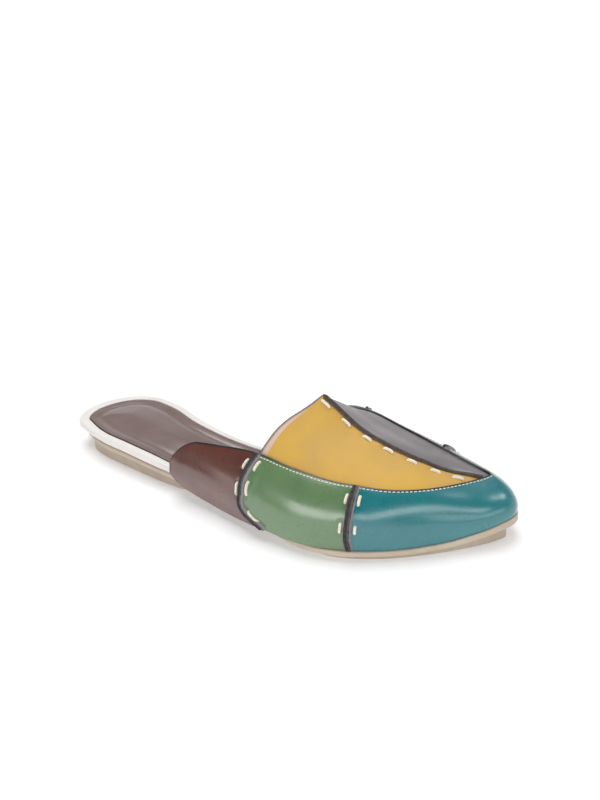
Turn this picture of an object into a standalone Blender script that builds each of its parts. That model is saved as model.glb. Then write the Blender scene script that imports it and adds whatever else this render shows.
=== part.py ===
"""Flat backless mule, right shoe: a patchwork leather upper on a low wrapped footbed.

The shoe points along +X with its outer (lateral) side at -Y, and stands on z = 0.
Sizes and tables are in millimetres, with x measured from the heel back. Meshes are in metres.
"""
import bmesh
import bpy
import numpy as np
from mathutils import Vector

COLLECTION = "flat_mule"
MM = 0.001

# Thicknesses, and the clear space that neighbouring curved pieces keep
GAP = 0.35
WALL = 1.8
SOCK_THICK = 1.5
SOCK_PROUD = 0.0
LAP_STEP = 1.1
LAP_WIDTH = 0.8
EDGE_ROUND = 0.7

# Plan of the footbed: its two end points, and its edges at each station
HEEL_BACK = (-2.4, 3.5)
TOE_TIP = (245.2, 2.0)
PLAN = (
    # x, lateral edge, medial edge
    (2.0, -8.8, 17.6),
    (10.0, -13.2, 26.0),
    (24.0, -18.8, 31.2),
    (42.0, -23.0, 28.0),
    (66.0, -27.9, 18.4),
    (88.0, -31.2, 13.6),
    (108.0, -35.6, 12.4),
    (128.0, -41.0, 14.4),
    (148.0, -46.0, 21.0),
    (166.0, -48.4, 26.6),
    (184.0, -45.2, 29.4),
    (202.0, -37.6, 28.0),
    (218.0, -26.4, 23.2),
    (231.0, -15.8, 16.4),
    (241.0, -6.2, 9.0),
)
OUTLINE_SAMPLES = 1200
APRON_SAMPLES = 240

# Side view of the sole: heights over the floor, the rim round the sock, how far the outsole stands
# out of the footbed, and how far the upper laps over the outsole's side
PROFILE = (
    # x, outsole underside, outsole top, footbed rim top, rim width, outsole ledge, upper lap
    (-2.4, 6.3, 8.6, 14.2, 6.0, -4.2, 0.0),
    (18.0, 6.4, 8.9, 14.2, 4.4, -1.4, 0.0),
    (45.0, 6.6, 9.1, 14.3, 4.0, -0.8, 0.0),
    (66.0, 6.1, 8.5, 13.7, 4.0, -0.8, 0.0),
    (87.0, 4.8, 7.2, 11.7, 3.4, -1.2, 0.6),
    (106.0, 3.5, 6.0, 9.7, 3.0, -2.2, 1.6),
    (124.0, 2.7, 5.4, 8.4, 3.0, -2.2, 1.6),
    (138.0, 2.4, 5.1, 7.8, 3.0, -1.4, 0.8),
    (146.0, 2.3, 5.0, 7.6, 3.0, -0.6, 0.0),
    (158.0, 2.2, 4.9, 7.3, 3.0, 1.4, 0.0),
    (167.0, 2.2, 4.9, 7.2, 3.0, 3.0, 0.0),
    (178.0, 2.2, 4.9, 7.2, 3.0, 4.2, 0.0),
    (202.0, 2.3, 5.0, 7.3, 3.0, 4.2, 0.0),
    (218.0, 2.6, 5.4, 8.0, 3.0, 4.2, 0.0),
    (230.0, 3.7, 6.8, 9.7, 3.0, 4.0, 0.0),
    (240.0, 5.8, 9.3, 12.3, 3.0, 3.8, 0.0),
    (251.0, 8.3, 12.4, 15.1, 3.0, 3.6, 0.0),
)

# Heel lift and forefoot tread: both stand on the floor
LIFT_BACK = 3.5
LIFT_FRONT = 96.0
LIFT_INSET = 2.4
LIFT_ROUND = (14.0, 16.0)
TREAD_BACK = 142.0
TREAD_FRONT = 245.5
TREAD_OUTSET = 2.4
TREAD_ROUND = (45.0, 16.0)
TREAD_LEAN = 0.06
TREAD_LIFTS_AT = 216.0
TREAD_TOE_RISE = 1.6

# Upper: one row per section, from the footbed edge up to the collar or the apron seam
LATERAL = (
    # x at footbed, top x, top y, top z, turn of the wall in degrees
    (76.0, 78.0, -25.2, 28.6, 40.0),
    (94.0, 95.0, -27.8, 30.4, 42.0),
    (112.0, 112.5, -29.6, 32.6, 48.0),
    (134.5, 135.0, -32.6, 35.2, 58.0),
    (154.0, 154.5, -35.2, 33.2, 64.0),
    (174.0, 174.5, -35.9, 31.5, 68.0),
    (190.0, 186.8, -33.5, 30.5, 70.0),
    (207.0, 202.0, -28.3, 29.0, 70.0),
    (222.0, 216.7, -17.2, 27.6, 70.0),
    (234.0, 227.5, -3.6, 26.2, 70.0),
    (241.0, 232.0, 3.4, 25.7, 70.0),
    (245.3, 233.6, 7.2, 25.5, 70.0),
)
MEDIAL = (
    # x at footbed, top x, top y, top z, turn of the wall in degrees
    (110.0, 112.0, 8.4, 20.0, 45.0),
    (122.0, 123.0, 9.4, 26.0, 48.0),
    (138.0, 139.0, 12.8, 33.5, 52.0),
    (157.0, 158.0, 17.2, 40.8, 50.0),
    (169.0, 168.5, 17.8, 39.6, 50.0),
    (186.0, 184.5, 16.6, 35.4, 52.0),
    (199.0, 195.5, 15.6, 32.5, 56.0),
    (212.0, 207.5, 13.8, 29.7, 61.0),
    (227.0, 221.5, 11.0, 26.8, 71.0),
    (238.0, 229.5, 9.0, 25.8, 72.0),
    (245.3, 233.6, 7.2, 25.5, 70.0),
)
SECTIONS = {"lateral": LATERAL, "medial": MEDIAL}
BULGE = 1.0

# Centre ridge of the apron, from the throat peak to the toe
RIDGE = (
    # x, y, z
    (155.3, -5.0, 57.2),
    (162.3, -5.2, 52.5),
    (172.9, -5.2, 45.4),
    (186.6, -4.8, 40.2),
    (204.8, -3.0, 33.2),
    (217.2, 0.0, 27.8),
    (225.0, 3.1, 26.1),
)
CROWN_AT_THROAT = {"lateral": 3.7, "medial": -0.4}
CROWN_AT_TOE = 0.8
THROAT_SWAY = {"lateral": 1.2, "medial": 0.0}

# Rounded rear end of each quarter, and the throat corner where the apron begins
QUARTER_BACK = {"lateral": 81.5, "medial": 112.0}
QUARTER_MID_Z = {"lateral": 15.5, "medial": 12.0}
QUARTER_TOP_ROUND = 17.0
QUARTER_LOW_ROUND = 11.0
THROAT_CORNER = {"lateral": 134.5, "medial": 163.5}

# Raised seams across the side strip: x at the footbed edge by height up the strip
SEAM_WIDTH = 3.6
RIDGE_SEAM_WIDTH = 2.6
SEAM_HEIGHT = 1.5
SEAM_TOP_SHARE = 0.6
SIDE_SEAMS = {
    # name: side, x at the foot, just over it, near half way up, and at the top
    "seam_lateral_rear": ("lateral", 145.8, 136.2, 132.4, 135.8),
    "seam_lateral_front": ("lateral", 188.2, 187.6, 188.0, 190.4),
    "seam_medial_rear": ("medial", 164.0, 161.6, 160.4, 166.0),
    "seam_medial_front": ("medial", 209.0, 207.8, 207.6, 212.0),
}
SEAM_LEVELS = (0.03, 0.15, 0.45, 0.97)

# Mesh density
SOLE_STATIONS = 34
BLOCK_STATIONS = 22
QUARTER_COLUMNS = 14
APRON_COLUMNS = 26
STRIP_ROWS = 8
APRON_ROWS = 8
SEAM_STEPS = 14
RIDGE_STEPS = 30
RIDGE_SEAM_SPAN = (0.01, 0.97)

# Colours (linear) and roughness of each sub-part
COLOURS = {
    "outsole": ((0.45, 0.37, 0.27), 0.6),
    "heel_lift": ((0.43, 0.35, 0.25), 0.65),
    "forefoot_tread": ((0.43, 0.35, 0.25), 0.65),
    "footbed": ((0.86, 0.80, 0.74), 0.5),
    "sock": ((0.20, 0.13, 0.12), 0.4),
    "upper": ((0.05, 0.25, 0.28), 0.35),
}
SEAM_COLOUR = ((0.05, 0.045, 0.05), 0.6)


def smooth(knots, values, at):
    """Cubic through the rows of a table, with slopes taken from the neighbouring rows."""
    knots = np.asarray(knots, float)
    values = np.asarray(values, float)
    slopes = np.gradient(values, knots, axis=0)
    at = np.clip(np.asarray(at, float), knots[0], knots[-1])
    low = np.clip(np.searchsorted(knots, at, side="right") - 1, 0, len(knots) - 2)
    span = knots[low + 1] - knots[low]
    t = (at - knots[low]) / span
    if values.ndim > 1:
        t = t[..., None]
        span = span[..., None]
    rise = t * t * (3 - 2 * t)
    return (
        values[low] * (1 - rise)
        + values[low + 1] * rise
        + span * t * (1 - t) * ((1 - t) * slopes[low] - t * slopes[low + 1])
    )


def draw_outline():
    """Footbed edge as two paths from heel to toe, each with x, y, outward normal and share."""
    lateral = [(x, outer) for x, outer, inner in PLAN]
    medial = [(x, inner) for x, outer, inner in PLAN]
    points = np.array([HEEL_BACK, *lateral, TOE_TIP, *medial[::-1]])
    ring = np.vstack([points[-3:], points, points[:4]])
    chord = np.concatenate([[0.0], np.cumsum(np.hypot(*np.diff(ring, axis=0).T))])
    at = np.linspace(chord[3], chord[3 + len(points)], OUTLINE_SAMPLES, endpoint=False)
    curve = smooth(chord, ring, at)
    curve = np.roll(curve, -curve[:, 0].argmin(), axis=0)
    ahead = np.roll(curve, -1, axis=0) - np.roll(curve, 1, axis=0)
    ahead /= np.hypot(ahead[:, 0], ahead[:, 1])[:, None]
    rows = np.column_stack([curve, ahead[:, 1], -ahead[:, 0]])
    toe = curve[:, 0].argmax()
    sides = {"lateral": rows[: toe + 1], "medial": np.vstack([rows[toe:], rows[:1]])[::-1]}
    paths = {}
    for side, path in sides.items():
        run = np.concatenate([[0.0], np.cumsum(np.hypot(*np.diff(path[:, :2], axis=0).T))])
        paths[side] = {"rows": path, "share": run / run[-1], "length": run[-1]}
    return paths


EDGE = draw_outline()


def profile(column, x):
    """A column of the sole's side view at x."""
    table = np.array(PROFILE)
    return smooth(table[:, 0], table[:, column], x)


def outsole_under(x):
    return profile(1, x)


def outsole_top(x):
    return profile(2, x)


def footbed_rim(x):
    return profile(3, x)


def rim_width(x):
    return profile(4, x)


def outsole_ledge(x):
    return profile(5, x)


def upper_foot(x):
    """Lower edge of the upper, on the outsole or lapped over its side at the waist."""
    return outsole_top(x) + GAP - profile(6, x)


def end_round(distance, radius):
    """Share of full size near a rounded end."""
    d = np.clip(distance / radius, 0.0, 1.0)
    return np.sqrt(1 - (1 - d) ** 2)


def moved_edge(side, out):
    """Footbed edge of one side, moved outward by out, which may depend on x."""
    x, y, nx, ny = EDGE[side]["rows"].T
    step = out(x) if callable(out) else out
    return x + nx * step, y + ny * step


def plan_ring(out, stations):
    """Stations along the footbed plan moved outward by out: x, lateral y, medial y."""
    lateral = moved_edge("lateral", out)
    medial = moved_edge("medial", out)
    share = (1 - np.cos(np.linspace(0, np.pi, stations + 1))) / 2
    x = lateral[0][0] + share * (lateral[0][-1] - lateral[0][0])
    return x, np.interp(x, *lateral), np.interp(x, *medial)


def block_ring(back, front, out, rounding, stations, lean=0.5):
    """Stations of a block under the sole, with rounded ends: x, lateral y, medial y.

    lean is the lateral edge's share of the front rounding.
    """
    share = (1 - np.cos(np.linspace(0, np.pi, stations + 1))) / 2
    x = back + share * (front - back)
    outer = np.interp(x, *moved_edge("lateral", out))
    inner = np.interp(x, *moved_edge("medial", out))
    width = inner - outer
    rear = (1 - end_round(x - back, rounding[0])) / 2
    fore = 1 - end_round(front - x, rounding[1])
    return x, outer + width * (rear + fore * lean), inner - width * (rear + fore * (1 - lean))


def loop_points(ring, height):
    """Closed loop of a ring: heel end, lateral side, toe end, medial side back."""
    x, outer, inner = ring
    z = height(x) if callable(height) else np.full_like(x, height)
    there = [(x[i], outer[i], z[i]) for i in range(len(x))]
    back = [(x[i], inner[i], z[i]) for i in range(len(x) - 2, 0, -1)]
    return there + back


def add_cap(bm, loop):
    """Close a loop with cross strips between its two sides."""
    half = len(loop) // 2
    bm.faces.new((loop[0], loop[1], loop[-1]))
    for i in range(1, half - 1):
        bm.faces.new((loop[i], loop[i + 1], loop[-i - 1], loop[-i]))
    bm.faces.new((loop[half - 1], loop[half], loop[half + 1]))


def stacked_solid(rings):
    """Closed solid through a stack of (ring, height) loops, capped at both ends."""
    bm = bmesh.new()
    loops = [[bm.verts.new(Vector(p) * MM) for p in loop_points(*row)] for row in rings]
    for low, high in zip(loops, loops[1:]):
        for i in range(len(low)):
            k = (i + 1) % len(low)
            bm.faces.new((low[i], low[k], high[k], high[i]))
    add_cap(bm, loops[0])
    add_cap(bm, loops[-1])
    return bm


def above(height, step):
    """Height function raised by a step."""
    return lambda x: height(x) + step


def make_outsole():
    inner = plan_ring(lambda x: outsole_ledge(x) - EDGE_ROUND, SOLE_STATIONS)
    outer = plan_ring(outsole_ledge, SOLE_STATIONS)
    return stacked_solid([
        (inner, outsole_under),
        (outer, above(outsole_under, EDGE_ROUND)),
        (outer, above(outsole_top, -EDGE_ROUND)),
        (inner, outsole_top),
    ])


def make_heel_lift():
    foot = block_ring(LIFT_BACK + EDGE_ROUND, LIFT_FRONT - EDGE_ROUND, -LIFT_INSET - EDGE_ROUND,
                      LIFT_ROUND, BLOCK_STATIONS)
    full = block_ring(LIFT_BACK, LIFT_FRONT, -LIFT_INSET, LIFT_ROUND, BLOCK_STATIONS)
    return stacked_solid([
        (foot, 0.0),
        (full, EDGE_ROUND),
        (full, above(outsole_under, -GAP)),
    ])


def tread_under(x):
    """Underside of the forefoot tread: flat on the floor, then lifting towards the toe."""
    past = np.clip((x - TREAD_LIFTS_AT) / (TREAD_FRONT - TREAD_LIFTS_AT), 0.0, 1.0)
    return TREAD_TOE_RISE * past ** 1.6


def make_forefoot_tread():
    foot = block_ring(TREAD_BACK + EDGE_ROUND, TREAD_FRONT - EDGE_ROUND, TREAD_OUTSET - EDGE_ROUND,
                      TREAD_ROUND, SOLE_STATIONS, TREAD_LEAN)
    full = block_ring(TREAD_BACK, TREAD_FRONT, TREAD_OUTSET, TREAD_ROUND, SOLE_STATIONS, TREAD_LEAN)
    return stacked_solid([
        (foot, tread_under),
        (full, above(tread_under, EDGE_ROUND)),
        (full, above(outsole_under, -GAP)),
    ])


def make_footbed():
    """Wrapped footbed: a low tray, undercut at the heel, whose rim stands round the sock."""
    under = above(outsole_top, GAP)
    tray = SOCK_THICK - SOCK_PROUD + GAP
    foot = plan_ring(lambda x: np.minimum(outsole_ledge(x), 0) - EDGE_ROUND, SOLE_STATIONS)
    side = plan_ring(0.0, SOLE_STATIONS)
    rim_in = plan_ring(lambda x: -rim_width(x), SOLE_STATIONS)
    return stacked_solid([
        (foot, under),
        (side, lambda x: 0.6 * under(x) + 0.4 * footbed_rim(x)),
        (side, above(footbed_rim, -1.0)),
        (plan_ring(-0.9, SOLE_STATIONS), above(footbed_rim, -0.1)),
        (plan_ring(lambda x: EDGE_ROUND - rim_width(x), SOLE_STATIONS), footbed_rim),
        (rim_in, above(footbed_rim, -0.4)),
        (rim_in, above(footbed_rim, -tray)),
    ])


def make_sock():
    """Leather sock laid in the footbed's tray."""
    base = above(footbed_rim, SOCK_PROUD - SOCK_THICK)
    top = above(footbed_rim, SOCK_PROUD)
    full = plan_ring(lambda x: -rim_width(x) - GAP, SOLE_STATIONS)
    crest = plan_ring(lambda x: -rim_width(x) - GAP - EDGE_ROUND, SOLE_STATIONS)
    return stacked_solid([(full, base), (full, above(top, -EDGE_ROUND)), (crest, top)])


def share_at(side, x):
    """Share of the footbed edge, heel to toe, at station x."""
    path = EDGE[side]
    return np.interp(x, path["rows"][:, 0], path["share"])


def foot_point(side, share):
    """Foot of the upper's outer face, and the outward direction there."""
    path = EDGE[side]
    x, y, nx, ny = (np.interp(share, path["share"], path["rows"][:, i]) for i in range(4))
    out = Vector((nx, ny, 0)).normalized()
    foot = Vector((x, y, 0)) + out * (WALL + GAP)
    foot.z = upper_foot(foot.x + out.x * LAP_STEP)
    return foot, out


def section(side, share):
    """Top point and turn of the wall at a share of the footbed edge."""
    table = np.array(SECTIONS[side])
    top_x, top_y, top_z, turn = smooth(share_at(side, table[:, 0]), table[:, 1:], share)
    return Vector((top_x, top_y, top_z)), np.radians(turn)


def strip_span(side, share):
    """Lowest and highest share of the wall's rise that the leather covers."""
    back = share_at(side, QUARTER_BACK[side])
    run = (share - back) * EDGE[side]["length"]
    foot, out = foot_point(side, share)
    top, turn = section(side, share)
    middle = (QUARTER_MID_Z[side] - foot.z) / (top.z - foot.z)
    low = middle * (1 - end_round(run, QUARTER_LOW_ROUND))
    high = middle + (1 - middle) * end_round(run, QUARTER_TOP_ROUND)
    return low, high


def strip_point(side, share, level):
    """Point of the side strip, from its foot (level 0) to its top (level 1)."""
    foot, out = foot_point(side, share)
    top, turn = section(side, share)
    low, high = (np.arcsin(v * np.sin(turn)) for v in strip_span(side, share))
    angle = low + (high - low) * level
    inward = (1 - np.cos(angle)) / (1 - np.cos(turn))
    rise = np.sin(angle) / np.sin(turn)
    lean = Vector((top.x - foot.x, top.y - foot.y, 0))
    point = foot + lean * inward + out * (BULGE * np.sin(np.pi * rise))
    point.z = foot.z + (top.z - foot.z) * rise
    return point


def ridge_point(along):
    """Point of the centre ridge, from the throat peak (0) to the toe (1)."""
    table = np.array(RIDGE)
    x = table[0, 0] + along * (table[-1, 0] - table[0, 0])
    y, z = smooth(table[:, 0], table[:, 1:], x)
    return Vector((x, y, z))


def apron_run(side):
    """Shares along the apron's edge, and how much of the apron's length each one has reached."""
    shares = np.linspace(share_at(side, THROAT_CORNER[side]), 1, APRON_SAMPLES)
    tops = np.array([section(side, share)[0].x for share in shares])
    return shares, (tops - tops[0]) / (tops[-1] - tops[0])


APRON = {side: apron_run(side) for side in SECTIONS}


def apron_share(side, along):
    """Share of the footbed edge below a place along the apron."""
    shares, reached = APRON[side]
    return np.interp(along, reached, shares)


def apron_point(side, along, across):
    """Point of the apron, from the side strip (across 0) to the centre ridge (across 1)."""
    edge = strip_point(side, apron_share(side, along), 1.0)
    crown = CROWN_AT_THROAT[side] * (1 - along) + CROWN_AT_TOE * along
    point = edge.lerp(ridge_point(along), across)
    sway = THROAT_SWAY[side] * (1 - along) ** 2
    point.z += crown * np.sin(np.pi * across) + sway * np.sin(2 * np.pi * across)
    return point


def upper_columns(side):
    """Columns of the upper, each a share of the footbed edge and a place along the apron."""
    back = share_at(side, QUARTER_BACK[side]) + 0.4 / EDGE[side]["length"]
    corner = share_at(side, THROAT_CORNER[side])
    quarter = back + (corner - back) * np.linspace(0, 1, QUARTER_COLUMNS + 1)[:-1] ** 1.4
    shares, reached = APRON["lateral"]
    alongs = np.interp(np.linspace(shares[0], 1, APRON_COLUMNS + 1), shares, reached)
    return [(share, None) for share in quarter] + [(apron_share(side, a), a) for a in alongs]


def column_points(side, share, along):
    """Points up one column, each with its raise over the smooth surface."""
    points = [(strip_point(side, share, k / STRIP_ROWS), LAP_STEP) for k in range(STRIP_ROWS + 1)]
    if along is not None:
        reach = (ridge_point(along) - points[-1][0]).length
        for across in np.linspace(LAP_WIDTH / reach, 1, APRON_ROWS + 1):
            points.append((apron_point(side, along, across), 0.0))
    return points


def upper_surface():
    """Open surface of the upper, with each vertex's raise kept in a layer."""
    bm = bmesh.new()
    raise_layer = bm.verts.layers.float.new("raise")
    for side in SECTIONS:
        columns = []
        for share, along in upper_columns(side):
            column = []
            for point, lift in column_points(side, share, along):
                vert = bm.verts.new(point * MM)
                vert[raise_layer] = lift * MM
                column.append(vert)
            columns.append(column)
        for here, ahead in zip(columns, columns[1:]):
            for k in range(min(len(here), len(ahead)) - 1):
                corners = [here[k], ahead[k], ahead[k + 1], here[k + 1]]
                bm.faces.new(corners if side == "lateral" else corners[::-1])
    bmesh.ops.remove_doubles(bm, verts=bm.verts, dist=0.05 * MM)
    bm.normal_update()
    return bm, raise_layer


def make_upper():
    """Hollow upper: the surface raised where the strip laps the apron, and its inner face."""
    bm, raise_layer = upper_surface()
    faces = list(bm.faces)
    rim = [edge for edge in bm.edges if edge.is_boundary]
    inner = {v: bm.verts.new(v.co - v.normal * WALL * MM) for v in list(bm.verts)}
    for face in faces:
        bm.faces.new([inner[v] for v in reversed(face.verts)])
    for edge in rim:
        a, b = edge.verts
        bm.faces.new((a, b, inner[b], inner[a]))
    for vert in inner:
        vert.co += vert.normal * vert[raise_layer]
    return bm


def seam_solid(path):
    """Raised seam along a path of (left, centre, right) places, each a point and a normal."""
    bm = bmesh.new()
    loops = []
    for places in path:
        (left, left_out), (middle, out), (right, right_out) = places
        crest = GAP + SEAM_HEIGHT
        shoulder_left = middle.lerp(left, SEAM_TOP_SHARE) + out * (crest * 0.85)
        shoulder_right = middle.lerp(right, SEAM_TOP_SHARE) + out * (crest * 0.85)
        corners = (left + left_out * GAP, shoulder_left, middle + out * crest, shoulder_right,
                   right + right_out * GAP, middle + out * GAP)
        loops.append([bm.verts.new(p * MM) for p in corners])
    for here, ahead in zip(loops, loops[1:]):
        for i in range(len(here)):
            k = (i + 1) % len(here)
            bm.faces.new((here[i], here[k], ahead[k], ahead[i]))
    for loop in (loops[0], loops[-1]):
        bm.faces.new((loop[0], loop[1], loop[2], loop[5]))
        bm.faces.new((loop[5], loop[2], loop[3], loop[4]))
    return bm


def strip_place(side, share, level):
    """Point on the strip's raised outer face, and its outward normal."""
    step = 0.002
    here = strip_point(side, share, level)
    along = strip_point(side, share + step, level) - strip_point(side, share - step, level)
    up = strip_point(side, share, min(level + step, 1)) - strip_point(side, share, max(level - step, 0))
    out = along.cross(up) if side == "lateral" else up.cross(along)
    out.normalize()
    return here + out * LAP_STEP, out


def make_side_seam(side, *stations):
    """Seam up the side strip, through an x at each of its levels."""
    half = SEAM_WIDTH / 2 / EDGE[side]["length"]
    path = []
    for level in np.linspace(SEAM_LEVELS[0], SEAM_LEVELS[-1], SEAM_STEPS + 1):
        share = share_at(side, smooth(SEAM_LEVELS, stations, level))
        path.append([strip_place(side, share + step, level) for step in (-half, 0, half)])
    return seam_solid(path)


def ridge_place(side, along):
    """Point on the apron half a seam's width from the ridge."""
    reach = (ridge_point(along) - apron_point(side, along, 0.0)).length
    return apron_point(side, along, 1 - min(RIDGE_SEAM_WIDTH / 2 / reach, 0.45))


def make_center_seam():
    """Seam along the apron's centre ridge."""
    path = []
    for along in np.linspace(*RIDGE_SEAM_SPAN, RIDGE_STEPS + 1):
        left = ridge_place("lateral", along)
        right = ridge_place("medial", along)
        middle = ridge_point(along)
        ahead = ridge_point(min(along + 0.01, 1)) - ridge_point(max(along - 0.01, 0))
        left_out = ahead.cross(middle - left).normalized()
        right_out = ahead.cross(right - middle).normalized()
        out = (left_out + right_out).normalized()
        if left_out.z < 0:
            left_out, right_out, out = -left_out, -right_out, -out
        path.append([(left, left_out), (middle, out), (right, right_out)])
    return seam_solid(path)


def make_material(name, colour, roughness):
    material = bpy.data.materials.new(name)
    material.use_nodes = True
    shader = material.node_tree.nodes["Principled BSDF"]
    shader.inputs["Base Color"].default_value = (*colour, 1.0)
    shader.inputs["Roughness"].default_value = roughness
    shader.inputs["Metallic"].default_value = 0.0
    return material


def make_solids():
    """Every sub-part by name."""
    solids = {
        "outsole": make_outsole(),
        "heel_lift": make_heel_lift(),
        "forefoot_tread": make_forefoot_tread(),
        "footbed": make_footbed(),
        "sock": make_sock(),
        "upper": make_upper(),
        "seam_center": make_center_seam(),
    }
    for name, row in SIDE_SEAMS.items():
        solids[name] = make_side_seam(*row)
    return solids


def plan_middle(solids):
    """Middle of the shoe's plan, which becomes the origin."""
    points = np.array([vert.co for bm in solids.values() for vert in bm.verts])
    middle = (points.min(axis=0) + points.max(axis=0)) / 2
    return Vector((middle[0], middle[1], 0))


def add_part(name, bm, collection, look, middle):
    """Finish a solid as a named object with its own material."""
    bmesh.ops.translate(bm, verts=bm.verts, vec=-middle)
    bmesh.ops.recalc_face_normals(bm, faces=bm.faces)
    if bm.calc_volume(signed=True) < 0:
        bmesh.ops.reverse_faces(bm, faces=bm.faces)
    mesh = bpy.data.meshes.new(name)
    bm.to_mesh(mesh)
    bm.free()
    mesh.shade_smooth()
    mesh.set_sharp_from_angle(angle=np.radians(40))
    mesh.materials.append(make_material(name, *look))
    collection.objects.link(bpy.data.objects.new(name, mesh))


def main():
    for old in list(bpy.data.objects):
        bpy.data.objects.remove(old)
    collection = bpy.data.collections.new(COLLECTION)
    bpy.context.scene.collection.children.link(collection)
    solids = make_solids()
    middle = plan_middle(solids)
    for name, bm in solids.items():
        add_part(name, bm, collection, COLOURS.get(name, SEAM_COLOUR), middle)


main()
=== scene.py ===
"""Looks of the flat patchwork mule, a right shoe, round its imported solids.

Tables and sizes are in the shoe's own millimetres, as in the part's source: x from the heel back to the
toe, y to the inner (medial) side, z up from the floor. Meshes are moved to the frame in metres.
"""
from functools import partial

import bmesh
import bpy
import numpy as np
from mathutils import Matrix, Quaternion, Vector


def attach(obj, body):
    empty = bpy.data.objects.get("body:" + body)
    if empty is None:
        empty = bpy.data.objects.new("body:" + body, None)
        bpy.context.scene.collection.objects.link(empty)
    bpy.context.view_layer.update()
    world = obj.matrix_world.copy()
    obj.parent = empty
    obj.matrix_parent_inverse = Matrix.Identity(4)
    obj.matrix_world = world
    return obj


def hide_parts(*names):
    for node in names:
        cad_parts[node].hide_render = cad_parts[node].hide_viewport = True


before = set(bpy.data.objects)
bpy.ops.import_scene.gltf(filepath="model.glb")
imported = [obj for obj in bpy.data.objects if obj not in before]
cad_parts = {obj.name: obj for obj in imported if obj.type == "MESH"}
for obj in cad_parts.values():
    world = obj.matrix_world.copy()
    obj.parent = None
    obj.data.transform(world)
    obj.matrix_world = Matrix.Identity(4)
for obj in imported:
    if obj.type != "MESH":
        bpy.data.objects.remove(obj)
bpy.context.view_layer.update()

MM = 0.001

# Where the frame's origin lies in the shoe's millimetres
ORIGIN = np.array([123.2506, -9.0253, 0.0])

# Thicknesses, and the clear space that neighbouring curved pieces keep
GAP = 0.35
WALL = 1.8
SOCK_THICK = 1.5
LAP_STEP = 1.1
EDGE_ROUND = 0.7

# Plan of the footbed: its two end points, and its edges at each station
HEEL_BACK = (-2.4, 3.5)
TOE_TIP = (245.2, 2.0)
PLAN = (
    # x, lateral edge, medial edge
    (2, -8.8, 17.6),
    (10, -13.2, 26),
    (24, -18.8, 31.2),
    (42, -23, 28),
    (66, -27.9, 18.4),
    (88, -31.2, 13.6),
    (108, -35.6, 12.4),
    (128, -41, 14.4),
    (148, -46, 21),
    (166, -48.4, 26.6),
    (184, -45.2, 29.4),
    (202, -37.6, 28),
    (218, -26.4, 23.2),
    (231, -15.8, 16.4),
    (241, -6.2, 9),
)

# Side view of the sole
PROFILE = (
    # x, outsole underside, outsole top, footbed rim top, rim width, outsole ledge, upper lap
    (-2.4, 6.3, 8.6, 14.2, 6, -4.2, 0),
    (18, 6.4, 8.9, 14.2, 4.4, -1.4, 0),
    (45, 6.6, 9.1, 14.3, 4, -0.8, 0),
    (66, 6.1, 8.5, 13.7, 4, -0.8, 0),
    (87, 4.8, 7.2, 11.7, 3.4, -1.2, 0.6),
    (106, 3.5, 6, 9.7, 3, -2.2, 1.6),
    (124, 2.7, 5.4, 8.4, 3, -2.2, 1.6),
    (138, 2.4, 5.1, 7.8, 3, -1.4, 0.8),
    (146, 2.3, 5, 7.6, 3, -0.6, 0),
    (158, 2.2, 4.9, 7.3, 3, 1.4, 0),
    (167, 2.2, 4.9, 7.2, 3, 3, 0),
    (178, 2.2, 4.9, 7.2, 3, 4.2, 0),
    (202, 2.3, 5, 7.3, 3, 4.2, 0),
    (218, 2.6, 5.4, 8, 3, 4.2, 0),
    (230, 3.7, 6.8, 9.7, 3, 4, 0),
    (240, 5.8, 9.3, 12.3, 3, 3.8, 0),
    (251, 8.3, 12.4, 15.1, 3, 3.6, 0),
)

# Heel lift and forefoot tread: both stand on the floor
LIFT_BACK = 3.5
LIFT_FRONT = 96.0
LIFT_INSET = 2.4
LIFT_ROUND = (14.0, 16.0)
TREAD_BACK = 142.0
TREAD_FRONT = 245.5
TREAD_OUTSET = 2.4
TREAD_ROUND = (45.0, 16.0)
TREAD_LEAN = 0.06
TREAD_LIFTS_AT = 216.0
TREAD_TOE_RISE = 1.6
TREAD_TOE_CURVE = 1.6

# Upper: one row per section, from the footbed edge up to the collar or the apron seam, with
# x at footbed, top x, top y, top z and turn of the wall in degrees
LATERAL = (
    (76, 78, -25.2, 28.6, 40),
    (94, 95, -27.8, 30.4, 42),
    (112, 112.5, -29.6, 32.6, 48),
    (134.5, 135, -32.6, 35.2, 58),
    (154, 154.5, -35.2, 33.2, 64),
    (174, 174.5, -35.9, 31.5, 68),
    (190, 186.8, -33.5, 30.5, 70),
    (207, 202, -28.3, 29, 70),
    (222, 216.7, -17.2, 27.6, 70),
    (234, 227.5, -3.6, 26.2, 70),
    (241, 232, 3.4, 25.7, 70),
    (245.3, 233.6, 7.2, 25.5, 70),
)
MEDIAL = (
    (110, 112, 8.4, 20, 45),
    (122, 123, 9.4, 26, 48),
    (138, 139, 12.8, 33.5, 52),
    (157, 158, 17.2, 40.8, 50),
    (169, 168.5, 17.8, 39.6, 50),
    (186, 184.5, 16.6, 35.4, 52),
    (199, 195.5, 15.6, 32.5, 56),
    (212, 207.5, 13.8, 29.7, 61),
    (227, 221.5, 11, 26.8, 71),
    (238, 229.5, 9, 25.8, 72),
    (245.3, 233.6, 7.2, 25.5, 70),
)
SECTIONS = {"lateral": LATERAL, "medial": MEDIAL}
BULGE = 1.0

# Centre ridge of the apron, from the throat peak to the toe
RIDGE = (
    # x, y, z
    (155.3, -5, 57.2),
    (162.3, -5.2, 52.5),
    (172.9, -5.2, 45.4),
    (186.6, -4.8, 40.2),
    (204.8, -3, 33.2),
    (217.2, 0, 27.8),
    (225, 3.1, 26.1),
)
CROWN_AT_THROAT = {"lateral": 3.7, "medial": -0.4}
CROWN_AT_TOE = 0.8
THROAT_SWAY = {"lateral": 1.2, "medial": 0.0}

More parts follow.
